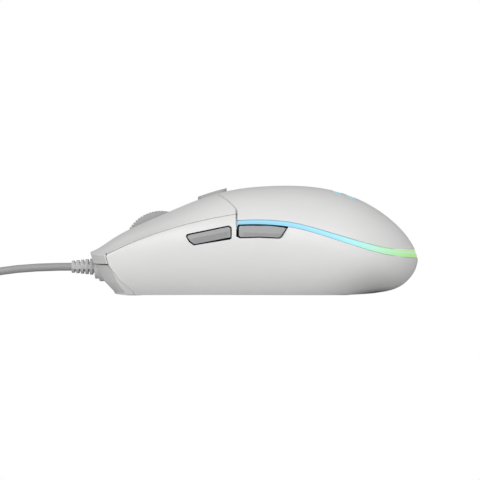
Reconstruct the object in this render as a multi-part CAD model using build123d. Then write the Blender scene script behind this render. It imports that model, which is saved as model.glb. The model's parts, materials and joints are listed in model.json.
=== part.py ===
from build123d import *
from math import asin, cos, pi, radians, sin, sqrt, tan
import os

os.makedirs("parts", exist_ok=True)

# ------------------------------------------------------------------ driving dimensions (mm)
# Frame: +X towards the tail, -Y the thumb side, +Z up, origin on the table under the centre.
# Outer body, one row per station: x, crown, keel, half width, widest height, seam height.
BODY_STATIONS = (
    (-62.0, 14.4, -7.5, 25.4, 8.8, 9.8),
    (-50.0, 19.9, -7.5, 27.6, 12.2, 14.4),
    (-38.0, 26.0, -7.5, 28.4, 14.8, 19.7),
    (-26.0, 31.2, -7.5, 28.4, 16.4, 23.6),
    (-14.0, 35.6, -7.5, 28.2, 17.3, 26.8),
    (-4.0, 37.7, -7.5, 28.9, 17.7, 28.3),
    (8.0, 38.6, -7.5, 30.2, 17.4, 28.8),
    (20.0, 38.3, -7.0, 31.1, 15.8, 28.4),
    (31.0, 36.2, -4.2, 30.6, 14.2, 27.0),
    (40.0, 32.5, -0.4, 28.2, 13.4, 24.6),
    (47.0, 28.0, 0.9, 23.9, 13.0, 21.6),
    (52.5, 23.05, 2.9, 17.8, 12.8, 18.6),
    (56.2, 18.2, 6.3, 10.8, 12.6, 15.6),
    (58.3, 14.1, 10.6, 3.6, 12.3, 13.2),
)
BOTTOM = 0.4
FLOOR_TOP = 2.2
WALL = 1.8
GAP = 0.3
REACH = 60.0

# Where a section's points lie along its side and along its top, and the side's part of the whole.
SIDE_SHARES = (0, 0.16, 0.32, 0.46, 0.58, 0.7, 0.83, 0.96, 1)
TOP_SHARES = (0, 0.06, 0.24, 0.48, 0.74, 1)
SIDE_PART = 0.62

# Nose: a side profile turned about an upright axis, so the front sweeps back at the corners.
NOSE_RADIUS = 57.5
NOSE_TIP = -58.3
NOSE_PROFILE = ((0.0, 20.0), (0.0, 15.1), (1.1, 11.0), (1.9, 10.4), (5.0, 4.7), (8.4, 1.1), (9.8, -3.0))

# Seam between the main buttons and the side shell, seen from the side. It is cut on a slant,
# lower towards the middle, and is wider at the front, where a click moves the button more.
SEAM = ((-50.1, 14.3), (-37.2, 20.0), (-21.9, 24.8), (-6.3, 28.0))
SEAM_SLANT = 0.8
SEAM_GAP_FRONT = 0.42
SEAM_GAP_REAR = 0.24
SEAM_REAR = -6.4
# The buttons' lower edge at the nose, and the arc between them and the palm, seen from above.
LIP_BOTTOM = 11.1
LIP_EDGE = ((-49.7, 11.1), (-50.45, 13.5))
LIP_RIB = (20.3, 21.2)  # from and to, each side: ribs of the base behind the ends of that edge
REAR_SEAM_RADIUS = 41.0
REAR_SEAM_CENTER = 27.4
SPINE_HALF = 5.9
PALM_FRONT = -5.8

# Front edge of the side shell where it meets the nose of the base.
NOSE_TOP = 10.7
NOSE_JOIN = 0.05
NOSE_EDGE = ((-50.3, 13.5), (-49.3, 10.4), (-45.8, 5.4), (-41.4, 1.6), (-39.0, -5.0))
# Plan of the base: half widths along it, and its tail.
FLOOR_EDGE = ((-64.0, 17.0), (-50.0, 17.8), (-14.0, 18.4), (14.0, 20.0), (29.0, 18.6), (38.0, 12.0))
FLOOR_TAIL = 42.0

# Light strip: top and bottom lines seen from the side.
STRIP_TOP = (
    (-5.8, 25.75),
    (5.2, 25.9),
    (13.6, 24.9),
    (22.8, 22.5),
    (35.5, 18.75),
    (44.4, 16.6),
    (54.3, 15.7),
    (62.0, 15.6),
)
STRIP_BOTTOM = (
    (-5.8, 24.45),
    (5.2, 24.45),
    (13.6, 23.4),
    (22.8, 20.9),
    (35.5, 16.85),
    (44.4, 14.5),
    (54.3, 13.2),
    (62.0, 12.9),
)
STRIP_INSET = 0.12

# Scroll wheel.
WHEEL_X = -33.05
WHEEL_Z = 16.45
WHEEL_RADIUS = 13.2
WHEEL_WIDTH = 7.4
RIBS = 74
RIB_DEPTH = 0.4

# Main buttons.
HINGE_X = -16.5
HINGE_Z = 25.6
EARS = ((9.1, 11.5), (14.5, 16.5))
CHEEKS = ((7.2, 8.6), (12.0, 14.0))
MAIN_SWITCH_X = -42.0
MAIN_SWITCH_Y = 15.0
PLUNGER_TOP = 14.2
MIDDLE_PLUNGER_TOP = 14.2

# Boards.
PCB_BOTTOM = 5.4
PCB_TOP = 7.0

# Small button behind the wheel.
DPI_FRONT = -20.0
DPI_BACK = -9.7
DPI_HALF = 2.9
DPI_PROUD = 1.1
DPI_X = (DPI_FRONT + DPI_BACK) / 2
DPI_BOARD_Z = 25.1
DPI_PLUNGER_TOP = 30.2

# Side buttons: outlines of the holes and of the buttons in them, seen from the side.
SIDE_HOLES = {
    "front": (
        (-23.3, 20.5),
        (-22.9, 21.25),
        (-8.7, 24.2),
        (-7.75, 23.5),
        (-7.75, 19.8),
        (-8.4, 19.4),
        (-20.6, 17.4),
        (-22.2, 18.6),
    ),
    "back": (
        (-6.2, 26.0),
        (11.4, 26.0),
        (11.3, 23.4),
        (9.0, 20.0),
        (8.2, 19.7),
        (1.6, 20.0),
        (-4.9, 19.8),
        (-6.2, 20.4),
    ),
}
SIDE_KEYS = {
    "front": (
        (-22.75, 20.3),
        (-22.4, 20.85),
        (-8.9, 23.7),
        (-8.15, 23.2),
        (-8.15, 20.1),
        (-8.7, 19.75),
        (-20.4, 17.85),
        (-21.8, 18.9),
    ),
    "back": (
        (-5.3, 23.6),
        (-4.9, 24.0),
        (5.0, 24.05),
        (9.8, 23.45),
        (10.5, 23.0),
        (8.7, 20.35),
        (8.0, 20.05),
        (1.6, 20.4),
        (-4.7, 20.2),
        (-5.3, 20.8),
    ),
}
SIDE_SWITCH_Z = {"front": 20.4, "back": 21.6}
SIDE_SWITCH_X = {"front": -15.4, "back": 2.6}
SIDE_PLUNGER_Y = -24.6
SIDE_BOARD_Y = -19.2

# Two lit bars let into the palm, side by side across it.
PALM_BARS_X = (29.6, 34.3)
PALM_BAR_LENGTH = 22.6
PALM_BAR_WIDTH = 2.9
PALM_BAR_INSET = 0.1
PALM_BAR_DEPTH = 1.0

# Screws, sensor and feet: a foot is x, length across, width, and radius if it is a ring.
CASE_SCREWS = ((-31.4, 15.1), (-31.4, -15.1), (33.0, 11.5), (33.0, -11.5))
BOARD_SCREWS = ((24.0, 16.0), (24.0, -16.0))
SENSOR_X = 2.0
FOOT_TOP = 0.9
FEET = {
    "front_foot": (-42.0, 30.0, 5.5, 0.0),
    "rear_foot": (30.5, 26.0, 6.0, 0.0),
    "sensor_foot": (SENSOR_X, 0.0, 0.0, 9.0),
}

# Cord.
CORD = 2.9
CORD_Z = 9.7
COIL_X = -126.0
COIL_Y = 19.5
COIL_RADIUS = 19.5
BUNDLE = 4 * CORD
TIE = 0.5
# Route of the cord before and after its coil.
LEAD = ((-61.2, 0.0, CORD_Z), (-84.0, 0.0, CORD_Z), (-106.0, 0.0, 1.97), (-126.0, 0.0, 1.95))
TAIL = ((-117.0, 1.5, 10.4), (-131.0, 1.5, 10.6), (-141.0, 11.5, 13.6), (-141.0, 26.0, 16.15))
PLUG_X = -141.0
PLUG_Y = 20.0
PLUG_Z = 16.25


# ------------------------------------------------------------------ helpers
def save(name, shape):
    solids = shape.solids() if hasattr(shape, "solids") else [shape]
    keep = [s for s in solids if s.volume > 0.02]
    whole = keep[0] if len(keep) == 1 else Compound(children=keep)
    export_step(whole, "parts/" + name + ".step")
    print(name, len(keep), round(sum(s.volume for s in keep), 1), all(s.is_valid for s in keep))


def ease(a, b, x):
    t = min(1.0, max(0.0, (x - a) / (b - a)))
    return t * t * (3 - 2 * t)


def mix(a, b, t):
    return a + (b - a) * t


def block(x0, x1, y0, y1, z0, z1):
    return Pos((x0 + x1) / 2, (y0 + y1) / 2, (z0 + z1) / 2) * Box(x1 - x0, y1 - y0, z1 - z0)


def rod(radius, start, end):
    a, b = Vector(*start), Vector(*end)
    return Solid.make_cylinder(radius, (b - a).length, Plane(a, z_dir=b - a))


def side_prism(points, y0=-REACH, y1=REACH):
    face = Face(Wire.make_polygon([(x, y0, z) for x, z in points], close=True))
    return Solid.extrude(face, Vector(0, y1 - y0, 0))


def above(curve, x0, x1, shift=0.0, y0=-REACH, y1=REACH):
    spline = Edge.make_spline([(x, y0, z + shift) for x, z in curve])
    a, b = spline.position_at(0), spline.position_at(1)
    tops = [(x1, y0, b.Z), (x1, y0, 60), (x0, y0, 60), (x0, y0, a.Z)]
    ring = [b] + [Vector(*p) for p in tops] + [a]
    edges = [spline]
    for p, q in zip(ring, ring[1:]):
        if (p - q).length > 1e-6:
            edges.append(Edge.make_line(p, q))
    return Solid.extrude(Face(Wire(edges)), Vector(0, y1 - y0, 0))


def over_seam(side, gap_front, gap_rear, x0, x1):
    """Everything over the slanted seam on one side, from x0 to x1."""
    curve = []
    for x, z in SEAM:
        gap = mix(gap_front, gap_rear, (x - SEAM[0][0]) / (SEAM[-1][0] - SEAM[0][0]))
        curve.append((x, z + gap + SEAM_SLANT * (REACH - half_width(x, z))))
    spline = Edge.make_spline([(x, side * REACH, z) for x, z in curve])
    a, b = spline.position_at(0), spline.position_at(1)
    ring = [b, Vector(x1, b.Y, b.Z), Vector(x1, b.Y, 150), Vector(x0, b.Y, 150), Vector(x0, b.Y, a.Z), a]
    edges = [spline] + [Edge.make_line(p, q) for p, q in zip(ring, ring[1:]) if (p - q).length > 1e-6]
    return Solid.extrude(Face(Wire(edges)), Vector(0, -side * REACH, -SEAM_SLANT * REACH))


# ------------------------------------------------------------------ outer form
def exponents(x):
    return mix(2.9, 2.15, ease(-50, 5, x)), 2.1


def spaced(points, shares):
    lengths = [0.0]
    for p, q in zip(points, points[1:]):
        lengths.append(lengths[-1] + sqrt((q[0] - p[0]) ** 2 + (q[1] - p[1]) ** 2))
    found = []
    for share in shares:
        goal = share * lengths[-1]
        i = max(1, next(k for k, l in enumerate(lengths) if l >= goal - 1e-9))
        t = (goal - lengths[i - 1]) / (lengths[i] - lengths[i - 1])
        found.append(tuple(mix(points[i - 1][j], points[i][j], t) for j in (0, 1)))
    return found


def half_outline(station, inset):
    x, crown, keel, half, widest, seam = station
    upper_n, lower_n = exponents(x)
    crease = 1 - ease(-34, -2, x)
    share = (seam - widest) / (crown - widest)
    crown, keel, half = crown - inset, keel + inset, half - inset
    seam = widest + share * (crown - widest)
    seam_angle = asin(share ** (upper_n / 2))
    seam_y = half * cos(seam_angle) ** (2 / upper_n)

    def upper(angle):
        return half * cos(angle) ** (2 / upper_n), widest + (crown - widest) * sin(angle) ** (2 / upper_n)

    def lower(angle):
        return half * cos(angle) ** (2 / lower_n), widest - (widest - keel) * sin(angle) ** (2 / lower_n)

    def top(y):
        round_top = widest + (crown - widest) * (1 - (y / half) ** upper_n) ** (1 / upper_n)
        creased_top = seam + (crown - seam) * (1 - (y / seam_y) ** 2.1)
        return mix(round_top, creased_top, crease)

    fine = [i / 200 for i in range(201)]
    side = [lower(pi / 2 * (1 - t)) for t in fine] + [upper(seam_angle * t) for t in fine[1:]]
    over = [(seam_y * cos(pi / 2 * t), top(seam_y * cos(pi / 2 * t))) for t in fine]
    return side, over


def section(station, inset):
    side, over = half_outline(station, inset)
    right = spaced(side, SIDE_SHARES)[:-1] + spaced(over, TOP_SHARES)
    steps = [SIDE_PART * share for share in SIDE_SHARES[:-1]]
    steps += [SIDE_PART + (1 - SIDE_PART) * share for share in TOP_SHARES]
    points = right + [(-y, z) for y, z in right[-2::-1]]
    steps = steps + [2 - step for step in steps[-2::-1]]
    steps = [step / 2 for step in steps]
    spline = Edge.make_spline([(station[0], y, z) for y, z in points[:-1]], parameters=steps, periodic=True)
    return Wire([spline])


def nose_limit(inset):
    rim = [(NOSE_TIP + back + inset, z) for back, z in NOSE_PROFILE]
    axis_x = NOSE_TIP + NOSE_RADIUS
    points = [(axis_x, 0, 50), (rim[0][0], 0, 50)] + [(x, 0, z) for x, z in rim] + [(axis_x, 0, -3)]
    face = Face(Wire.make_polygon(points, close=True))
    turned = revolve(face, Axis((axis_x, 0, 0), (0, 0, 1)), 360)
    return turned + block(-20, 70, -REACH, REACH, -3, 50)


def envelope(inset, bottom=BOTTOM):
    rows = [s for s in BODY_STATIONS if s[1] - s[2] > 3 * inset + 3]
    sections = []
    for row in rows:
        x = row[0] - inset * ease(30, 56, row[0])
        sections.append(section((x,) + row[1:], inset))
    solid = Solid.make_loft(sections)
    solid = solid & block(-70, 70, -REACH, REACH, bottom, 60)
    return solid & nose_limit(max(inset, 0))


def half_width(x, z):
    for a, b in zip(BODY_STATIONS, BODY_STATIONS[1:]):
        if a[0] <= x <= b[0]:
            t = (x - a[0]) / (b[0] - a[0])
            crown, keel, half, widest = [mix(a[i], b[i], t) for i in (1, 2, 3, 4)]
    upper_n, lower_n = exponents(x)
    if z > widest:
        return half * (1 - ((z - widest) / (crown - widest)) ** upper_n) ** (1 / upper_n)
    return half * (1 - ((widest - z) / (widest - keel)) ** lower_n) ** (1 / lower_n)


# ------------------------------------------------------------------ shells
OUTER = envelope(0)
INNER = envelope(WALL, FLOOR_TOP)
SHELL = OUTER - INNER
PALM_CIRCLE = Pos(REAR_SEAM_CENTER, 0, 30) * Cylinder(REAR_SEAM_RADIUS, 80)
BUTTON_CIRCLE = Pos(REAR_SEAM_CENTER, 0, 30) * Cylinder(REAR_SEAM_RADIUS + GAP, 80)


def nose_zone(shift, top):
    edge = [(x + shift, z) for x, z in NOSE_EDGE]
    return side_prism([(-75, -5), (-75, top), (edge[1][0], top)] + edge[1:])


def floor_zone(grow):
    side = [(x, -(half + grow), -3) for x, half in FLOOR_EDGE] + [(FLOOR_TAIL + grow, 0, -3)]
    rim = side + [(x, -y, z) for x, y, z in side[-2::-1]]
    edges = [Edge.make_spline(rim), Edge.make_line(Vector(*rim[-1]), Vector(*rim[0]))]
    return Solid.extrude(Face(Wire(edges)), Vector(0, 0, 7.5))


def foot_form(x, length, width, ring, grow=0.0):
    if ring:
        thick = Cylinder(ring + grow, FOOT_TOP) - Cylinder(ring - 2.6 - grow, FOOT_TOP)
        return Pos(x, 0, FOOT_TOP / 2) * thick
    plate = extrude(Plane.XY * SlotOverall(length + 2 * grow, width + 2 * grow, rotation=90), FOOT_TOP)
    return Pos(x, 0, 0) * plate


def base_case():
    walls = SHELL & (floor_zone(0) + nose_zone(-NOSE_JOIN, NOSE_TOP))
    body = walls.solids().sort_by(SortBy.VOLUME)[-1]
    for x, y in CASE_SCREWS:
        body = body + rod(3.2, (x, y, FLOOR_TOP - 0.5), (x, y, 9.0))
        body = body - rod(2.2, (x, y, 0), (x, y, 4.0)) - rod(1.3, (x, y, 0), (x, y, 10))
    for x, y in BOARD_SCREWS:
        body = body + rod(2.2, (x, y, FLOOR_TOP - 0.5), (x, y, PCB_BOTTOM))
        body = body - rod(0.8, (x, y, 3.2), (x, y, PCB_BOTTOM + 1))
    for y in (-4.0, 4.0):
        body = body + rod(1.0, (-17.2, y, FLOOR_TOP - 0.5), (-17.2, y, 19.0))
    for side in (-1, 1):
        low, high = sorted((side * LIP_RIB[0], side * LIP_RIB[1]))
        body = body + (block(-50.7, -48.5, low, high, 6.5, 13.3) & envelope(0.6))
    socket = rod(4.3, (-56.7, 0, CORD_Z), (-54.0, 0, CORD_Z))
    socket = socket + rod(5.2, (-55.1, 0, CORD_Z), (-50.2, 0, CORD_Z))
    socket = socket & block(-60, -40, -9, 9, 0, 12.6)
    socket = socket - rod(3.7, (-53.3, 0, CORD_Z), (-51.7, 0, CORD_Z))
    body = body + socket
    body = body - rod(2.45, (-60, 0, CORD_Z), (-45, 0, CORD_Z))
    body = body - rod(3.7, (-53.3, 0, CORD_Z), (-51.7, 0, CORD_Z))
    body = body - block(SENSOR_X - 4.2, SENSOR_X + 4.2, -3.2, 3.2, 0, 4)
    for x, length, width, ring in FEET.values():
        body = body - foot_form(x, length, width, ring, 0.15)
    return body


def side_shell():
    front = [(x + NOSE_JOIN, z) for x, z in NOSE_EDGE[::-1]]
    front += [SEAM[0], (SEAM[0][0], 60), (-75, 60), (-75, -5)]
    zone = block(-70, 70, -REACH, REACH, -2, 60) - floor_zone(GAP) - side_prism(front)
    for side in (-1, 1):
        zone = zone - over_seam(side, 0, 0, -75, 0)
    zone = zone - above(STRIP_BOTTOM, SEAM_REAR, 75, -0.1)
    body = SHELL & zone
    for which in ("front", "back"):
        body = body - side_prism(SIDE_HOLES[which], -REACH, -18)
    return body.solids().sort_by(SortBy.VOLUME)[-1]


def palm_bars(grow, inset, depth):
    length, width = PALM_BAR_LENGTH + 2 * grow, PALM_BAR_WIDTH + 2 * grow
    slot = Pos(0, 0, 20) * extrude(SlotOverall(length, width, rotation=90), 40)
    bars = Compound(children=[Pos(x, 0, 0) * slot for x in PALM_BARS_X])
    return (bars & envelope(inset)) - envelope(depth)


def palm_lap():
    """Tongue of the palm behind the gap between the side shell and the end of the light strip."""
    tongue = block(PALM_FRONT - 1.5, PALM_FRONT - 0.15, -REACH, REACH, 22.9, 28.1)
    root = block(PALM_FRONT - 0.3, PALM_FRONT + 1.2, -REACH, REACH, 26.2, 28.1)
    behind = (tongue & envelope(2.05)) + (root & envelope(1.7))
    return behind - envelope(3.2)


def palm_shell():
    body = SHELL & above(STRIP_TOP, PALM_FRONT, 75, 0.15)
    front = (SHELL & PALM_CIRCLE) & block(-16, PALM_FRONT, -REACH, REACH, SEAM[-1][1] + 0.1, 60)
    body = body + front
    body = body - block(-20, -7.2, -SPINE_HALF - GAP, SPINE_HALF + GAP, 20, 60)
    body = body - palm_bars(0.12, -0.5, PALM_BAR_DEPTH + 0.12)
    body = body + palm_lap()
    for x, y in CASE_SCREWS[2:]:
        post = rod(2.6, (x, y, 9.4), (x, y, 36)) & envelope(1.3)
        body = body + post
        body = body - rod(1.0, (x, y, 9), (x, y, 16))
    return body.solids().sort_by(SortBy.VOLUME)[-1]


def light_guide():
    band = above(STRIP_BOTTOM, PALM_FRONT, 75, 0.0) - above(STRIP_TOP, -8.0, 80, 0.0)
    ring = (envelope(STRIP_INSET) - envelope(3.0, 3.0)) & band
    return ring.solids().sort_by(SortBy.VOLUME)[-1]


def main_button(side):
    seam_x, seam_z = SEAM[0]
    front = [(-75, LIP_BOTTOM), *LIP_EDGE, (LIP_EDGE[1][0], seam_z + SEAM_GAP_FRONT)]
    lip = side_prism(front + [(seam_x, seam_z + SEAM_GAP_FRONT), (seam_x, 60), (-75, 60)])
    low, high = sorted((side * (SPINE_HALF + GAP), side * REACH))
    half = block(-75, SEAM_REAR - 0.05, low, high, LIP_BOTTOM, 60)
    zone = lip + over_seam(side, SEAM_GAP_FRONT, SEAM_GAP_REAR, seam_x, SEAM_REAR)
    cap = ((SHELL & half) & zone) - BUTTON_CIRCLE
    cap = cap.solids().sort_by(SortBy.VOLUME)[-1]
    inside = envelope(1.3)
    y = side * MAIN_SWITCH_Y
    post = rod(2.0, (MAIN_SWITCH_X, y, PLUNGER_TOP + 0.12), (MAIN_SWITCH_X, y, 30))
    cap = cap + (post & inside)
    for y0, y1 in EARS:
        low, high = sorted((side * y0, side * y1))
        ear = block(HINGE_X - 2.0, HINGE_X + 2.0, low, high, HINGE_Z - 2.0, 40)
        cap = cap + (ear & inside)
    cap = cap - rod(1.25, (HINGE_X, side * 6, HINGE_Z), (HINGE_X, side * 18, HINGE_Z))
    return cap.solids().sort_by(SortBy.VOLUME)[-1]


def center_spine():
    zone = block(-75, -7.5, -SPINE_HALF, SPINE_HALF, 13.4, 60)
    strip = SHELL & zone
    strip = strip.solids().sort_by(SortBy.VOLUME)[-1]
    strip = strip - block(-49.0, -25.0, -4.5, 4.5, 10, 60)
    strip = strip - (Pos(DPI_X, 0, 0) * dpi_slot(GAP))
    bar = block(-19.5, -13.5, -14.0, 14.0, 20.3, 22.8)
    for low, high in ((12.0, 17.0), (-17.0, -12.0)):
        bar = bar + block(-34.0, -19.0, low, high, 20.3, 22.4)
    webs = block(-22.0, -19.0, -SPINE_HALF, -4.6, 20.3, 40) + block(-22.0, -19.0, 4.6, SPINE_HALF, 20.3, 40)
    webs = webs + block(-9.2, -7.7, -SPINE_HALF, SPINE_HALF, 22.3, 40)
    webs = webs + block(-14, -7.7, -SPINE_HALF, SPINE_HALF, 22.3, 25.0)
    frame = bar + (webs & envelope(0.9))
    for side in (-1, 1):
        for y0, y1 in CHEEKS:
            low, high = sorted((side * y0, side * y1))
            frame = frame + block(HINGE_X - 1.8, HINGE_X + 1.8, low, high, 22.0, HINGE_Z + 1.6)
        frame = frame - rod(1.05, (HINGE_X, side * 6.6, HINGE_Z), (HINGE_X, side * 18, HINGE_Z))
    for x, y in CASE_SCREWS[:2]:
        frame = frame + rod(2.6, (x, y, 9.4), (x, y, 22.4))
        frame = frame - rod(1.0, (x, y, 9), (x, y, 16))
    return (strip + frame).solids().sort_by(SortBy.VOLUME)[-1]


# ------------------------------------------------------------------ small buttons
def dpi_slot(grow):
    length = DPI_BACK - DPI_FRONT + 2 * grow
    return Pos(0, 0, 26) * extrude(SlotOverall(length, 2 * (DPI_HALF + grow)), 40)


def dpi_button():
    cap = ((Pos(DPI_X, 0, 0) * dpi_slot(0)) & envelope(-DPI_PROUD)) - envelope(WALL + 0.4)
    stem = rod(1.1, (DPI_X, 0, DPI_PLUNGER_TOP + 0.12), (DPI_X, 0, 36))
    return cap + (stem & envelope(0.5))


def side_button(which):
    outline = SIDE_KEYS[which]
    x0, x1 = min(x for x, z in outline), max(x for x, z in outline)
    sections = []
    for x, t in ((x0 - 0.2, 0), (x0 + 2.2, 0.16), (x1 - 1.8, 0.88), (x1 + 0.2, 1)):
        proud = 1.4 if 0 < t < 1 else 0.3
        low, high = (17.7, 21.5) if which == "front" else (19.9, 24.3)
        rise = 2.9 if which == "front" else -0.5
        low, high = low + rise * t, high + rise * t
        mid = mix(low, high, 0.45)
        rows = [(low - 0.4, 0.1), (mid, proud), (high + 0.4, 0.1)]
        ring = [(x, -half_width(x, z) - p, z) for z, p in rows]
        ring = ring + [(x, -25.9, high + 0.4), (x, -25.9, low - 0.4)]
        sections.append(Wire.make_polygon(ring, close=True))
    body = Solid.make_loft(sections, ruled=True) & side_prism(outline, -REACH, -20)
    cx = (x0 + x1) / 2
    cz = SIDE_SWITCH_Z[which]
    stem = block(cx - 2.5, cx + 2.5, -26.4, SIDE_PLUNGER_Y - 0.12, cz - 1.2, cz + 1.2)
    return (body + stem).solids().sort_by(SortBy.VOLUME)[-1]


# ------------------------------------------------------------------ scroll wheel
def wheel_tyre():
    points = []
    groove = WHEEL_RADIUS - RIB_DEPTH
    rib = ((0.0, WHEEL_RADIUS), (0.5, WHEEL_RADIUS), (0.62, groove), (0.88, groove))
    for i in range(RIBS):
        for share, radius in rib:
            angle = 2 * pi * (i + share) / RIBS
            points.append((WHEEL_X + radius * cos(angle), -3.4, WHEEL_Z + radius * sin(angle)))
    ring = Solid.extrude(Face(Wire.make_polygon(points, close=True)), Vector(0, 6.8, 0))
    return ring - rod(10.6, (WHEEL_X, -5, WHEEL_Z), (WHEEL_X, 5, WHEEL_Z))


def wheel_hub():
    c0, c1 = (WHEEL_X, -WHEEL_WIDTH / 2, WHEEL_Z), (WHEEL_X, WHEEL_WIDTH / 2, WHEEL_Z)
    hub = rod(10.5, c0, c1) - rod(8.9, c0, (WHEEL_X, -0.9, WHEEL_Z)) - rod(8.9, (WHEEL_X, 0.9, WHEEL_Z), c1)
    hub = hub + rod(2.8, c0, c1)
    for i in range(6):
        a = radians(60 * i + 30)
        x, z = WHEEL_X + 6.0 * cos(a), WHEEL_Z + 6.0 * sin(a)
        hub = hub - rod(1.9, (x, -5, z), (x, 5, z))
    return hub - rod(1.25, (WHEEL_X, -6, WHEEL_Z), (WHEEL_X, 6, WHEEL_Z))


def wheel_axle():
    shaft = rod(1.2, (WHEEL_X, -7.6, WHEEL_Z), (WHEEL_X, 7.4, WHEEL_Z))
    return shaft + rod(0.95, (WHEEL_X, 7.3, WHEEL_Z), (WHEEL_X, 11.3, WHEEL_Z))


def wheel_carrier():
    body = block(-36.5, -15.4, -6.2, -4.8, 13.6, 19.0) + block(-36.5, -15.4, 4.8, 6.2, 13.6, 19.0)
    body = body + block(-18.8, -15.4, -6.2, 6.2, 13.6, 17.6)
    body = body + block(-27.5, -22.5, -14.0, -6.0, MIDDLE_PLUNGER_TOP + 0.12, MIDDLE_PLUNGER_TOP + 1.7)
    for y in (-4.0, 4.0):
        body = body - rod(1.2, (-17.2, y, 10), (-17.2, y, 22))
    return body - rod(1.4, (WHEEL_X, -8, WHEEL_Z), (WHEEL_X, 8, WHEEL_Z))


# ------------------------------------------------------------------ boards and chips
def main_pcb():
    board = block(-49.0, 29.4, -20.0, 20.0, PCB_BOTTOM, PCB_TOP)
    board = board - block(-45.0, -14.6, -7.6, 7.6, 5, 8)
    board = board - block(SENSOR_X - 4.6, SENSOR_X + 4.6, -4.6, 4.6, 5, 8)
    board = board - block(-60, -46.5, -5.6, 5.6, 5, 8)
    for x, y in CASE_SCREWS[:2]:
        board = board - rod(4.0, (x, y, 5), (x, y, 8))
    for x, y in BOARD_SCREWS:
        board = board - rod(1.2, (x, y, 5), (x, y, 8))
    return board & envelope(WALL + 0.3)


def switch(x, y, z, sx, sy, sz, well):
    body = block(x - sx / 2, x + sx / 2, y - sy / 2, y + sy / 2, z, z + sz)
    return body - block(x - 1.7, x + 1.7, y - 1.2, y + 1.2, z + sz - well, z + sz + 1)


def plunger(x, y, top, length):
    return block(x - 1.4, x + 1.4, y - 0.9, y + 0.9, top - length, top)


def side_switch(which):
    x, z, y = SIDE_SWITCH_X[which], SIDE_SWITCH_Z[which], SIDE_BOARD_Y - 0.8
    body = block(x - 3.1, x + 3.1, y - 3.4, y, z - 1.9 - 0.2, z + 1.9)
    return body - block(x - 1.3, x + 1.3, y - 4, y - 1.6, z - 1.1, z + 1.1)


def side_plunger(which):
    x, z = SIDE_SWITCH_X[which], SIDE_SWITCH_Z[which]
    return block(x - 1.0, x + 1.0, SIDE_PLUNGER_Y, SIDE_BOARD_Y - 3.2, z - 0.8, z + 0.8)


def side_pcb():
    return block(-18.2, 7.0, SIDE_BOARD_Y - 0.8, SIDE_BOARD_Y + 0.4, 12.0, 24.0)


def side_bracket():
    plate = block(-18.2, 8.0, SIDE_BOARD_Y + 0.4, SIDE_BOARD_Y + 1.8, 7.2, 22.0)
    foot = block(-8.0, 8.0, SIDE_BOARD_Y + 1.8, SIDE_BOARD_Y + 5.5, PCB_TOP, PCB_TOP + 1.4)
    window = block(-12, -4, SIDE_BOARD_Y, SIDE_BOARD_Y + 3, 12, 20)
    return plate + foot - window


def sensor_lens():
    body = block(SENSOR_X - 9.0, SENSOR_X + 9.0, -5.6, 5.6, 3.4, 4.6)
    return body + rod(2.2, (SENSOR_X, 0, 1.4), (SENSOR_X, 0, 4.0))


def sensor_chip():
    return block(SENSOR_X - 4.4, SENSOR_X + 4.4, -4.4, 4.4, 4.9, 8.3)


def encoder():
    body = block(WHEEL_X - 5.5, WHEEL_X + 5.5, 8.0, 11.6, PCB_TOP, 21.5)
    return body - rod(1.9, (WHEEL_X, 7.9, WHEEL_Z), (WHEEL_X, 13, WHEEL_Z))


def case_screw(x, y):
    return rod(1.9, (x, y, 2.7), (x, y, 3.9)) + rod(1.0, (x, y, 3.5), (x, y, 15.0))


def board_screw(x, y):
    return rod(1.8, (x, y, PCB_TOP), (x, y, PCB_TOP + 1.3)) + rod(0.8, (x, y, 3.4), (x, y, PCB_TOP + 0.4))


# ------------------------------------------------------------------ cord
def strain_relief():
    body = rod(1.75, (-65.1, 0, CORD_Z), (-56.9, 0, CORD_Z))
    for i in range(5):
        x = -65.1 + 1.64 * i
        radius = 2.2 + 0.17 * i
        body = body + rod(radius, (x, 0, CORD_Z), (x + 1.0, 0, CORD_Z))
    plan = [(-65.1, -2.1, 8.9), (-57.0, -2.8, 8.9), (-57.0, 2.8, 8.9), (-65.1, 2.1, 8.9)]
    spine = Solid.extrude(Face(Wire.make_polygon(plan, close=True)), Vector(0, 0, 1.6))
    body = body + spine + rod(2.2, (-57.6, 0, CORD_Z), (-50.4, 0, CORD_Z))
    body = body + rod(3.4, (-53.1, 0, CORD_Z), (-51.9, 0, CORD_Z))
    return body - rod(CORD / 2, (-70, 0, CORD_Z), (-40, 0, CORD_Z))


def tube(name, route):
    points = [Vector(*p) for p in route]
    radii = []
    for a, b, c in zip(points, points[1:], points[2:]):
        turn = radians((b - a).get_angle(c - b))
        shorter = min((b - a).length, (c - b).length)
        radii.append(0.45 * shorter / tan(turn / 2))
    path = FilletPolyline(*route, radius=radii)
    start = Plane(path @ 0, z_dir=path % 0)
    solid = sweep(start * Circle(CORD / 2), path=path)
    ratio = solid.volume / (pi * (CORD / 2) ** 2 * path.length)
    print(name, "radii", [round(r, 1) for r in radii], "length", round(path.length, 1))
    print(name, "volume ratio", round(ratio, 4))
    return solid


def coil():
    ring = Plane.XZ * Pos(COIL_RADIUS, TIE + BUNDLE / 2) * RectangleRounded(BUNDLE, BUNDLE, CORD / 2)
    return Pos(COIL_X, COIL_Y, 0) * revolve(ring, Axis.Z, 360)


def cord_tie():
    x = COIL_X + COIL_RADIUS
    half = BUNDLE / 2 + TIE
    outer = block(x - half, x + half, COIL_Y - 2.5, COIL_Y + 2.5, 0, 2 * half)
    half = BUNDLE / 2 + 0.05
    hole = block(x - half, x + half, COIL_Y - 3, COIL_Y + 3, TIE - 0.02, TIE + BUNDLE + 0.05)
    return outer - hole


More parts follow.
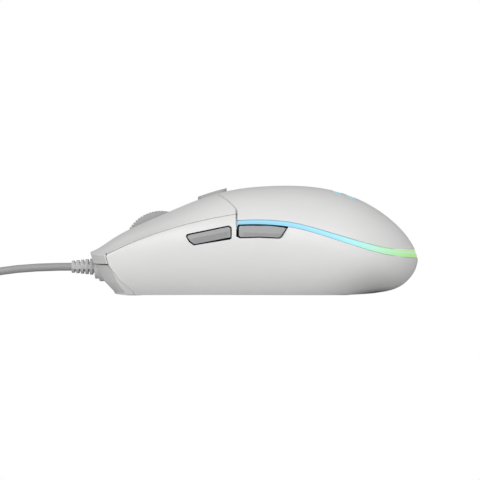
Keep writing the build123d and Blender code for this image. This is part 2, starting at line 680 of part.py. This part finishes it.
def plug_body():
    grip = block(PLUG_X - 7.6, PLUG_X + 7.6, PLUG_Y + 3, PLUG_Y + 20, PLUG_Z - 4, PLUG_Z + 4)
    body = fillet(grip.edges(), 1.2)
    neck = rod(2.9, (PLUG_X, PLUG_Y, PLUG_Z), (PLUG_X, PLUG_Y + 4, PLUG_Z))
    body = body + neck - rod(CORD / 2, (PLUG_X, PLUG_Y - 1, PLUG_Z), (PLUG_X, PLUG_Y + 6.5, PLUG_Z))
    return body - block(PLUG_X - 6.1, PLUG_X + 6.1, PLUG_Y + 14, PLUG_Y + 21, PLUG_Z - 2.35, PLUG_Z + 2.35)


def plug_shell():
    y0, y1 = PLUG_Y + 14.1, PLUG_Y + 31.5
    shell = block(PLUG_X - 6.0, PLUG_X + 6.0, y0, y1, PLUG_Z - 2.25, PLUG_Z + 2.25)
    shell = shell - block(PLUG_X - 5.7, PLUG_X + 5.7, y0 - 1, y1 + 1, PLUG_Z - 1.95, PLUG_Z + 1.95)
    for x in (-2.9, 2.9):
        shell = shell - block(PLUG_X + x - 1.1, PLUG_X + x + 1.1, y1 - 7.3, y1 - 5.1, PLUG_Z, PLUG_Z + 4)
    return shell


def plug_tongue():
    return block(PLUG_X - 5.5, PLUG_X + 5.5, PLUG_Y + 14.2, PLUG_Y + 31.0, PLUG_Z - 1.8, PLUG_Z + 0.1)


def plug_contacts():
    strips = []
    for x in (-3.5, -1.0, 1.0, 3.5):
        x0 = PLUG_X + x - 0.5
        strips.append(block(x0, x0 + 1.0, PLUG_Y + 20, PLUG_Y + 30, PLUG_Z + 0.1, PLUG_Z + 0.25))
    return Compound(children=strips)


# ------------------------------------------------------------------ all the parts
save("base_case", base_case())
save("side_shell", side_shell())
save("palm_shell", palm_shell())
save("light_guide", light_guide())
save("palm_light_window", palm_bars(0, PALM_BAR_INSET, PALM_BAR_DEPTH))
save("main_button_left", main_button(-1))
save("main_button_right", main_button(1))
save("center_spine", center_spine())
for side, name in ((-1, "left"), (1, "right")):
    low, high = sorted((side * 7.0, side * 16.8))
    save("hinge_pin_" + name, rod(1.0, (HINGE_X, low, HINGE_Z), (HINGE_X, high, HINGE_Z)))
save("dpi_button", dpi_button())
for which in ("front", "back"):
    save("side_button_" + which, side_button(which))
    save("side_switch_" + which, side_switch(which))
    save("side_plunger_" + which, side_plunger(which))
save("wheel_tyre", wheel_tyre())
save("wheel_hub", wheel_hub())
save("wheel_axle", wheel_axle())
save("wheel_carrier", wheel_carrier())
save("wheel_encoder", encoder())
save("main_pcb", main_pcb())
save("side_pcb", side_pcb())
save("side_bracket", side_bracket())
save("sensor_lens", sensor_lens())
save("sensor_chip", sensor_chip())
save("controller_chip", block(14.0, 21.0, -3.5, 3.5, PCB_TOP, PCB_TOP + 1.2))
save("cord_connector", block(-13.0, -7.0, 6.0, 13.0, PCB_TOP, PCB_TOP + 4.5))
for side, name in ((-1, "left"), (1, "right")):
    y = side * MAIN_SWITCH_Y
    save("switch_" + name, switch(MAIN_SWITCH_X, y, PCB_TOP, 12.6, 5.8, 6.5, 2.2))
    save("plunger_" + name, plunger(MAIN_SWITCH_X, y, PLUNGER_TOP, 2.3))
save("switch_middle", switch(-25.0, -11.5, PCB_TOP, 6.2, 4.4, 6.5, 2.2))
save("plunger_middle", plunger(-25.0, -11.5, MIDDLE_PLUNGER_TOP, 2.2))
save("dpi_pcb", block(-18.8, -9.4, -4.4, 4.4, DPI_BOARD_Z, DPI_BOARD_Z + 1.0))
save("switch_dpi", switch(DPI_X, 0, DPI_BOARD_Z + 1.0, 6.0, 5.0, 3.4, 1.8))
save("plunger_dpi", plunger(DPI_X, 0, DPI_PLUNGER_TOP, 1.9))
for side, name in ((-1, "left"), (1, "right")):
    low, high = sorted((side * 15.8, side * 19.0))
    save("strip_led_" + name, block(12.0, 16.0, low, high, PCB_TOP, PCB_TOP + 1.5))
save("palm_led", block(25.5, 29.0, -1.8, 1.8, PCB_TOP, PCB_TOP + 1.5))
for name, (x, length, width, ring) in FEET.items():
    save(name, foot_form(x, length, width, ring))
for i, (x, y) in enumerate(CASE_SCREWS):
    save("case_screw_" + "abcd"[i], case_screw(x, y))
for i, (x, y) in enumerate(BOARD_SCREWS):
    save("board_screw_" + "abcd"[i], board_screw(x, y))
save("strain_relief", strain_relief())
save("cord_lead", tube("lead", LEAD))
save("cord_coil", coil())
save("cord_tail", tube("tail", TAIL))
save("cord_tie", cord_tie())
save("usb_plug_body", plug_body())
save("usb_plug_shell", plug_shell())
save("usb_plug_tongue", plug_tongue())
save("usb_plug_contacts", plug_contacts())
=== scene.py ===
import json
from math import cos, pi, radians, sin

import bpy
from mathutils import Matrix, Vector


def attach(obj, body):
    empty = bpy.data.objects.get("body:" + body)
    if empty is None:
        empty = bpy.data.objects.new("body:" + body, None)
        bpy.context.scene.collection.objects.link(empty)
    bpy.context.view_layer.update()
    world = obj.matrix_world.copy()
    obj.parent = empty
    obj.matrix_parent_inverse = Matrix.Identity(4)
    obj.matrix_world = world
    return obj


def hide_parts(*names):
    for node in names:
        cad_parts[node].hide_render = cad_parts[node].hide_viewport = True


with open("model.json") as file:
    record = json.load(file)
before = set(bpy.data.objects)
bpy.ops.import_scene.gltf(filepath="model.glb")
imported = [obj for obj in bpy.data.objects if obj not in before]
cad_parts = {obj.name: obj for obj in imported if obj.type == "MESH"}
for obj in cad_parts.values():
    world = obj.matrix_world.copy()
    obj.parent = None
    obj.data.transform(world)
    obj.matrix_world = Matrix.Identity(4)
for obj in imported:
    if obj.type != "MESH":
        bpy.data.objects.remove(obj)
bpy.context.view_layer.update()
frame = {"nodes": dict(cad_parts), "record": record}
NODES = frame["nodes"]

# ---------------------------------------------------------------- driving numbers (metres)
# Camera: it looks along +Y at the middle of the picture, which shows VIEW_WIDTH at that distance.
VIEW_TARGET = (-0.00493, 0.0, 0.01925)
VIEW_DISTANCE = 0.5
VIEW_WIDTH = 0.172
SENSOR = 36.0

# Room: the strength of the air's light, how much light the floor gives back, and the soft lamps.
AMBIENT = 0.325
FLOOR_GREY = 0.62
FLOOR_HALF = 4.0
KEY = 11.4
KEY_PLACE = (0.05, -1.28, 0.8)
KEY_SIZE = (1.2, 0.7)
FILLS = (
    ("left_fill", (-1.3, -0.75, 0.35), 5.0),
    ("right_fill", (1.0, -1.0, 0.3), 2.0),
)
FILL_SIZE = (0.8, 0.55)

# Cord: where it leaves the object, its route to the coil and its route from the coil to the plug.
CORD_DIAMETER = 0.0029
LEAD = (
    (-0.0612, 0.0, 0.0097),
    (-0.0895, 0.0, 0.0099),
    (-0.1080, -0.0012, 0.00197),
)
TAIL = (
    (-0.1290, -0.0046, 0.0109),
    (-0.1360, -0.0015, 0.0130),
    (-0.1410, 0.0060, 0.0141),
    (-0.1410, 0.0260, 0.01615),
)

# Coil: radii of the turns in a layer, outside first, and the height of the lowest layer.
COIL_CENTRE = (-0.126, 0.0195)
COIL_RADII = (0.02385, 0.02095, 0.01805, 0.01515)
COIL_FLOOR = 0.00195
COIL_LAYERS = 4
COIL_START = 290
TURN_STEPS = 24
# Each turn moves over to the next one in SHIFT_STEPS of its steps, from step SHIFT_START on. It
# waits two such shifts more for each layer below the top one, and one less where it climbs.
SHIFT_START = 5
SHIFT_STEPS = 2

# Surfaces: depth of the fine grain, radius of softened edges, patches of grain in a metre of metal,
# and how far wear moves the roughness of plastic.
GRAIN_DEPTH = 0.00005
EDGE_RADIUS = 0.00015
METAL_GRAIN = 900
PLASTIC_WEAR = 0.05


# ---------------------------------------------------------------- camera
def add_camera():
    data = bpy.data.cameras.new("camera")
    data.sensor_width = SENSOR
    data.lens = SENSOR * VIEW_DISTANCE / VIEW_WIDTH
    camera = bpy.data.objects.new("camera", data)
    x, y, z = VIEW_TARGET
    camera.location = (x, y - VIEW_DISTANCE, z)
    camera.rotation_euler = (radians(90), 0, 0)
    bpy.context.scene.collection.objects.link(camera)
    bpy.context.scene.camera = camera


# ---------------------------------------------------------------- cord
def coil_turns():
    """Radius and layer of each turn: in on the floor, then out, in and out again on top."""
    turns = []
    for layer in range(COIL_LAYERS):
        radii = COIL_RADII if layer % 2 == 0 else COIL_RADII[::-1]
        turns += [(radius, layer) for radius in radii]
    return turns


def coil_points():
    """The coil's turns as control points, which lie a little outside the round line that they give."""
    turns = coil_turns()
    points = []
    for turn, (radius, layer) in enumerate(turns):
        next_radius, next_layer = turns[min(turn + 1, len(turns) - 1)]
        wait = 2 * (COIL_LAYERS - 1 - layer) - (next_layer - layer)
        for step in range(TURN_STEPS):
            done = (step - SHIFT_START) / SHIFT_STEPS - wait
            done = min(1.0, max(0.0, done))
            reach = (radius + (next_radius - radius) * done) / cos(pi / TURN_STEPS)
            level = layer + (next_layer - layer) * done
            angle = radians(COIL_START) - 2 * pi * step / TURN_STEPS
            x = COIL_CENTRE[0] + reach * cos(angle)
            y = COIL_CENTRE[1] + reach * sin(angle)
            points.append((x, y, COIL_FLOOR + level * CORD_DIAMETER))
    return points


def add_cord():
    curve = bpy.data.curves.new("cord", "CURVE")
    curve.dimensions = "3D"
    curve.bevel_depth = 1.0  # times each point's radius, which is the cord's own
    curve.bevel_resolution = 5
    curve.resolution_u = 6
    curve.use_fill_caps = True
    points = list(LEAD) + coil_points() + list(TAIL)
    spline = curve.splines.new("NURBS")
    spline.points.add(len(points) - 1)
    for point, place in zip(spline.points, points):
        point.co = (*place, 1.0)
        point.radius = CORD_DIAMETER / 2
    spline.order_u = 3
    spline.use_endpoint_u = True
    cord = bpy.data.objects.new("cord", curve)
    bpy.context.scene.collection.objects.link(cord)
    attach(cord, "case")
    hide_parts("cord_lead", "cord_coil", "cord_tail")
    return cord


# ---------------------------------------------------------------- material tools
def new_material(name):
    material = bpy.data.materials.new(name)
    material.use_nodes = True
    tree = material.node_tree
    shader = tree.nodes["Principled BSDF"]
    return material, tree, shader


def add(tree, kind, **settings):
    node = tree.nodes.new(kind)
    for key, value in settings.items():
        setattr(node, key, value)
    return node


def noise(tree, scale, detail=2.0, roughness=0.5):
    """Noise in the object's own frame; scale is the number of patches in a metre."""
    place = tree.nodes.get("place") or add(tree, "ShaderNodeTexCoord", name="place")
    node = add(tree, "ShaderNodeTexNoise")
    node.inputs["Scale"].default_value = scale
    node.inputs["Detail"].default_value = detail
    node.inputs["Roughness"].default_value = roughness
    tree.links.new(place.outputs["Object"], node.inputs["Vector"])
    return node


def spread(tree, source, low, high):
    """Stretches the middle of a noise to the range from low to high."""
    node = add(tree, "ShaderNodeMapRange")
    node.inputs["From Min"].default_value = 0.3
    node.inputs["From Max"].default_value = 0.7
    node.inputs["To Min"].default_value = low
    node.inputs["To Max"].default_value = high
    tree.links.new(source, node.inputs["Value"])
    return node.outputs["Result"]


def tinted(tree, shader, colour, variation, scale):
    """Base colour that drifts between the colour and a slightly darker one."""
    dark = tuple(c * (1 - variation) for c in colour)
    mix = add(tree, "ShaderNodeMix", data_type="RGBA")
    mix.inputs["A"].default_value = (*dark, 1)
    mix.inputs["B"].default_value = (*colour, 1)
    patch = noise(tree, scale, 3.0)
    tree.links.new(spread(tree, patch.outputs["Fac"], 0, 1), mix.inputs["Factor"])
    tree.links.new(mix.outputs["Result"], shader.inputs["Base Color"])
    return mix


def grained(tree, shader, scale, strength):
    """Moulded grain over softly rounded edges."""
    bevel = add(tree, "ShaderNodeBevel", samples=6)
    bevel.inputs["Radius"].default_value = EDGE_RADIUS
    bump = add(tree, "ShaderNodeBump")
    bump.inputs["Strength"].default_value = strength
    bump.inputs["Distance"].default_value = GRAIN_DEPTH
    tree.links.new(noise(tree, scale, 2.0, 0.6).outputs["Fac"], bump.inputs["Height"])
    tree.links.new(bevel.outputs["Normal"], bump.inputs["Normal"])
    tree.links.new(bump.outputs["Normal"], shader.inputs["Normal"])


def plastic(name, colour, roughness, grain=4000, strength=0.25, variation=0.03):
    """Satin plastic or rubber, with patches of wear in its gloss."""
    material, tree, shader = new_material(name)
    tinted(tree, shader, colour, variation, 60)
    wear = noise(tree, 140, 4.0)
    rough = spread(tree, wear.outputs["Fac"], roughness - PLASTIC_WEAR, roughness + PLASTIC_WEAR)
    tree.links.new(rough, shader.inputs["Roughness"])
    grained(tree, shader, grain, strength)
    return material


def metal(name, colour, roughness):
    """Plated or ground metal."""
    material, tree, shader = new_material(name)
    tinted(tree, shader, colour, 0.12, 300)
    shader.inputs["Metallic"].default_value = 1.0
    rough = spread(tree, noise(tree, METAL_GRAIN, 4.0).outputs["Fac"], roughness - 0.08, roughness + 0.1)
    tree.links.new(rough, shader.inputs["Roughness"])
    grained(tree, shader, METAL_GRAIN * 3, 0.15)
    return material


# ---------------------------------------------------------------- lit parts
# The lit band's middle line in X and Z, along which its painted highlight runs, and its colour along X.
STRIP_LINE = (
    (-0.0058, 0.0253),
    (0.0052, 0.0254),
    (0.0136, 0.0244),
    (0.0228, 0.0220),
    (0.0355, 0.0181),
    (0.0444, 0.0159),
    (0.0543, 0.0148),
    (0.0583, 0.0147),
)
STRIP_COLOURS = (
    (-0.0058, (0.27, 0.66, 0.88)),
    (0.0250, (0.29, 0.76, 0.99)),
    (0.0310, (0.36, 0.88, 0.96)),
    (0.0370, (0.45, 0.93, 0.84)),
    (0.0430, (0.49, 0.92, 0.58)),
    (0.0500, (0.46, 0.84, 0.38)),
    (0.0583, (0.38, 0.64, 0.22)),
)
# Half width of its painted highlight line, and the number that brings its heights into a curve node's 0 to
# 1.
STRIP_HIGHLIGHT_HALF = 0.0006
CURVE_SCALE = 30
# Colour of the faces that turn towards STRIP_MIDDLE, which don't glow.
STRIP_EDGE = (0.004, 0.012, 0.016, 1)
STRIP_MIDDLE = (0.0, 0.0, 0.01)


def strip_colour(tree, along, low, high):
    """The band's colour along its length."""
    ramp = add(tree, "ShaderNodeValToRGB")
    stops = ramp.color_ramp.elements
    while len(stops) < len(STRIP_COLOURS):
        stops.new(0.5)
    for stop, (x, colour) in zip(stops, STRIP_COLOURS):
        stop.position = (x - low) / (high - low)
        stop.color = (*colour, 1)
    tree.links.new(along, ramp.inputs["Fac"])
    return ramp.outputs["Color"]


def strip_painted_highlight(tree, along, height_above, low, high):
    """How much of the painted highlight line shows: most on the band's middle line, and none beyond its
    half width.
    """
    line = add(tree, "ShaderNodeFloatCurve")
    curve = line.mapping.curves[0]
    while len(curve.points) < len(STRIP_LINE):
        curve.points.new(0.5, 0.5)
    for point, (x, z) in zip(curve.points, STRIP_LINE):
        point.location = ((x - low) / (high - low), z * CURVE_SCALE)
    line.mapping.update()
    tree.links.new(along, line.inputs["Value"])
    height = add(tree, "ShaderNodeMath", operation="MULTIPLY")
    height.inputs[1].default_value = CURVE_SCALE
    tree.links.new(height_above, height.inputs[0])
    apart = add(tree, "ShaderNodeMath", operation="SUBTRACT")
    tree.links.new(height.outputs[0], apart.inputs[0])
    tree.links.new(line.outputs["Value"], apart.inputs[1])
    size = add(tree, "ShaderNodeMath", operation="ABSOLUTE")
    tree.links.new(apart.outputs[0], size.inputs[0])
    highlight_share = add(tree, "ShaderNodeMapRange", interpolation_type="SMOOTHSTEP")
    highlight_share.inputs["From Max"].default_value = STRIP_HIGHLIGHT_HALF * CURVE_SCALE
    highlight_share.inputs["To Min"].default_value = 0.2
    highlight_share.inputs["To Max"].default_value = 0.0
    tree.links.new(size.outputs[0], highlight_share.inputs["Value"])
    return highlight_share.outputs["Result"]


def faces_outwards(tree, place):
    """1 on faces that turn away from the inside of the object, and 0 on the others."""
    away = add(tree, "ShaderNodeVectorMath", operation="SUBTRACT")
    away.inputs[1].default_value = STRIP_MIDDLE
    tree.links.new(place.outputs["Object"], away.inputs[0])
    facing = add(tree, "ShaderNodeVectorMath", operation="DOT_PRODUCT")
    tree.links.new(away.outputs["Vector"], facing.inputs[0])
    tree.links.new(add(tree, "ShaderNodeNewGeometry").outputs["True Normal"], facing.inputs[1])
    outside = add(tree, "ShaderNodeMath", operation="GREATER_THAN")
    outside.inputs[1].default_value = 0.0
    tree.links.new(facing.outputs["Value"], outside.inputs[0])
    return outside.outputs["Value"]


def strip_material():
    """A lit band: its colour runs along X, a painted highlight line follows it, and only its outer face
    glows.
    """
    material, tree, shader = new_material("lit_strip")
    place = add(tree, "ShaderNodeTexCoord", name="place")
    split = add(tree, "ShaderNodeSeparateXYZ")
    tree.links.new(place.outputs["Object"], split.inputs["Vector"])
    low, high = STRIP_LINE[0][0], STRIP_LINE[-1][0]
    along = add(tree, "ShaderNodeMapRange")
    along.inputs["From Min"].default_value = low
    along.inputs["From Max"].default_value = high
    tree.links.new(split.outputs["X"], along.inputs["Value"])
    highlight_share = strip_painted_highlight(tree, along.outputs["Result"], split.outputs["Z"], low, high)
    # The glow's colour with the pale painted highlight line mixed in along the band's middle.
    lit = add(tree, "ShaderNodeMix", data_type="RGBA")
    lit.inputs["B"].default_value = (0.8, 1.0, 1.0, 1)
    tree.links.new(highlight_share, lit.inputs["Factor"])
    tree.links.new(strip_colour(tree, along.outputs["Result"], low, high), lit.inputs["A"])
    shown = add(tree, "ShaderNodeMix", data_type="RGBA")
    shown.inputs["A"].default_value = STRIP_EDGE
    tree.links.new(faces_outwards(tree, place), shown.inputs["Factor"])
    tree.links.new(lit.outputs["Result"], shown.inputs["B"])
    tree.links.new(shown.outputs["Result"], shader.inputs["Emission Color"])
    shader.inputs["Emission Strength"].default_value = 0.95
    shader.inputs["Base Color"].default_value = (0.02, 0.03, 0.035, 1)
    rough = spread(tree, noise(tree, 500, 3.0).outputs["Fac"], 0.3, 0.45)
    tree.links.new(rough, shader.inputs["Roughness"])
    grained(tree, shader, 2500, 0.1)
    return material


def window_material():
    """The lit bars in the palm."""
    material, tree, shader = new_material("lit_window")
    glow = add(tree, "ShaderNodeMix", data_type="RGBA")
    glow.inputs["A"].default_value = (0.17, 0.47, 0.56, 1)
    glow.inputs["B"].default_value = (0.27, 0.6, 0.68, 1)
    tree.links.new(noise(tree, 300, 1.0).outputs["Fac"], glow.inputs["Factor"])
    tree.links.new(glow.outputs["Result"], shader.inputs["Emission Color"])
    shader.inputs["Emission Strength"].default_value = 0.9
    shader.inputs["Base Color"].default_value = (0.1, 0.13, 0.14, 1)
    shader.inputs["Roughness"].default_value = 0.25
    grained(tree, shader, 2500, 0.1)
    return material


def lens_material():
    material, tree, shader = new_material("clear_lens")
    tinted(tree, shader, (0.86, 0.9, 0.93), 0.05, 400)
    shader.inputs["Transmission Weight"].default_value = 0.8
    shader.inputs["Roughness"].default_value = 0.08
    shader.inputs["IOR"].default_value = 1.5
    grained(tree, shader, 800, 0.05)
    return material


def board_material():
    """Dark solder resist with tracks under it."""
    material, tree, shader = new_material("board")
    mix = tinted(tree, shader, (0.008, 0.03, 0.018), 0.3, 500)
    tracks = add(tree, "ShaderNodeTexBrick")
    tracks.inputs["Scale"].default_value = 300
    tracks.inputs["Mortar Size"].default_value = 0.012
    tracks.inputs["Color1"].default_value = (0.007, 0.026, 0.016, 1)
    tracks.inputs["Color2"].default_value = (0.008, 0.03, 0.018, 1)
    tracks.inputs["Mortar"].default_value = (0.016, 0.07, 0.04, 1)
    tree.links.new(tree.nodes["place"].outputs["Object"], tracks.inputs["Vector"])
    tree.links.new(tracks.outputs["Color"], mix.inputs["B"])
    shader.inputs["Roughness"].default_value = 0.35
    grained(tree, shader, 1500, 0.15)
    return material


# ---------------------------------------------------------------- dress the nodes
def dress():
    """Gives every node the material of its slot, and returns the cord's."""
    white = plastic("white_shell", (0.81, 0.81, 0.805), 0.42, grain=5200, strength=0.22, variation=0.012)
    grey = plastic("grey_key", (0.43, 0.43, 0.435), 0.42, grain=5200, strength=0.2)
    tyre = plastic("wheel_rubber", (0.42, 0.42, 0.425), 0.6, grain=6000, strength=0.3)
    hub = plastic("wheel_plastic", (0.48, 0.48, 0.485), 0.4)
    black = plastic("black_plastic", (0.012, 0.012, 0.013), 0.45, variation=0.2)
    nylon = plastic("nylon", (0.72, 0.70, 0.64), 0.4)
    relief = plastic("relief_rubber", (0.58, 0.58, 0.585), 0.5, grain=6000, strength=0.25)
    jacket = plastic("cord_jacket", (0.38, 0.38, 0.385), 0.5, grain=7000, strength=0.25)
    pad = plastic("foot_pad", (0.62, 0.62, 0.60), 0.3, grain=2500, strength=0.12, variation=0.08)
    plug = plastic("plug_plastic", (0.38, 0.38, 0.385), 0.42)
    steel = metal("steel", (0.58, 0.58, 0.60), 0.3)
    nickel = metal("nickel", (0.70, 0.69, 0.67), 0.24)
    gold = metal("gold", (0.85, 0.60, 0.24), 0.25)
    by_slot = {
        "shell_white": white,
        "button_grey": grey,
        "wheel_rubber": tyre,
        "wheel_plastic": hub,
        "light_guide": strip_material(),
        "inner_plastic": black,
        "lens_clear": lens_material(),
        "board_green": board_material(),
        "chip_black": black,
        "switch_black": black,
        "plunger_white": nylon,
        "led_white": nylon,
        "foot_ptfe": pad,
        "screw_steel": steel,
        "pin_steel": steel,
        "cord_grey": jacket,
        "relief_grey": relief,
        "tie_black": black,
        "plug_grey": plug,
        "plug_metal": nickel,
        "tongue_white": nylon,
        "contact_gold": gold,
    }
    for entry in frame["record"]["subparts"]:
        node = NODES[entry["node"]]
        for place in node.material_slots:
            place.material = by_slot[entry["material_slot"]]
    for place in NODES["palm_light_window"].material_slots:
        place.material = window_material()
    return jacket


# ---------------------------------------------------------------- room
def seen_or_not(tree, seen, unseen, kind):
    """One shader for what the camera sees and another for the light that it gives."""
    path = add(tree, "ShaderNodeLightPath")
    mix = add(tree, "ShaderNodeMixShader")
    tree.links.new(path.outputs["Is Camera Ray"], mix.inputs[0])
    tree.links.new(unseen.outputs[0], mix.inputs[1])
    tree.links.new(seen.outputs[0], mix.inputs[2])
    output = next(node for node in tree.nodes if node.bl_idname == kind)
    tree.links.new(mix.outputs[0], output.inputs["Surface"])


def add_floor():
    """A plain floor that the camera sees as white, whatever light it gives back."""
    mesh = bpy.data.meshes.new("floor")
    signs = [(-1, -1), (1, -1), (1, 1), (-1, 1)]
    corners = [(x * FLOOR_HALF, y * FLOOR_HALF, 0) for x, y in signs]
    mesh.from_pydata(corners, [], [(0, 1, 2, 3)])
    floor = bpy.data.objects.new("floor", mesh)
    bpy.context.scene.collection.objects.link(floor)
    material, tree, shader = new_material("floor")
    shader.inputs["Base Color"].default_value = (FLOOR_GREY, FLOOR_GREY, FLOOR_GREY, 1)
    shader.inputs["Roughness"].default_value = 0.9
    shader.inputs["Specular IOR Level"].default_value = 0.0
    white = add(tree, "ShaderNodeEmission")
    white.inputs["Color"].default_value = (1, 1, 1, 1)
    seen_or_not(tree, white, shader, "ShaderNodeOutputMaterial")
    mesh.materials.append(material)


def add_area(name, place, size, power):
    data = bpy.data.lights.new(name, "AREA")
    data.shape = "RECTANGLE"
    data.size, data.size_y = size
    data.energy = power
    light = bpy.data.objects.new(name, data)
    light.location = place
    direction = Vector(VIEW_TARGET) - Vector(place)
    light.rotation_euler = direction.to_track_quat("-Z", "Y").to_euler()
    bpy.context.scene.collection.objects.link(light)


def add_room():
    scene = bpy.context.scene
    scene.view_settings.view_transform = "Standard"
    world = bpy.data.worlds.new("room")
    scene.world = world
    world.use_nodes = True
    tree = world.node_tree
    air = tree.nodes["Background"]
    air.inputs["Color"].default_value = (1, 1, 1, 1)
    air.inputs["Strength"].default_value = AMBIENT
    white = add(tree, "ShaderNodeBackground")
    white.inputs["Color"].default_value = (1, 1, 1, 1)
    seen_or_not(tree, white, air, "ShaderNodeOutputWorld")
    add_floor()
    add_area("key", KEY_PLACE, KEY_SIZE, KEY)
    for name, place, power in FILLS:
        add_area(name, place, FILL_SIZE, power)


add_camera()
cord = add_cord()
jacket = dress()
cord.data.materials.append(jacket)
add_room()

bpy.context.view_layer.update()
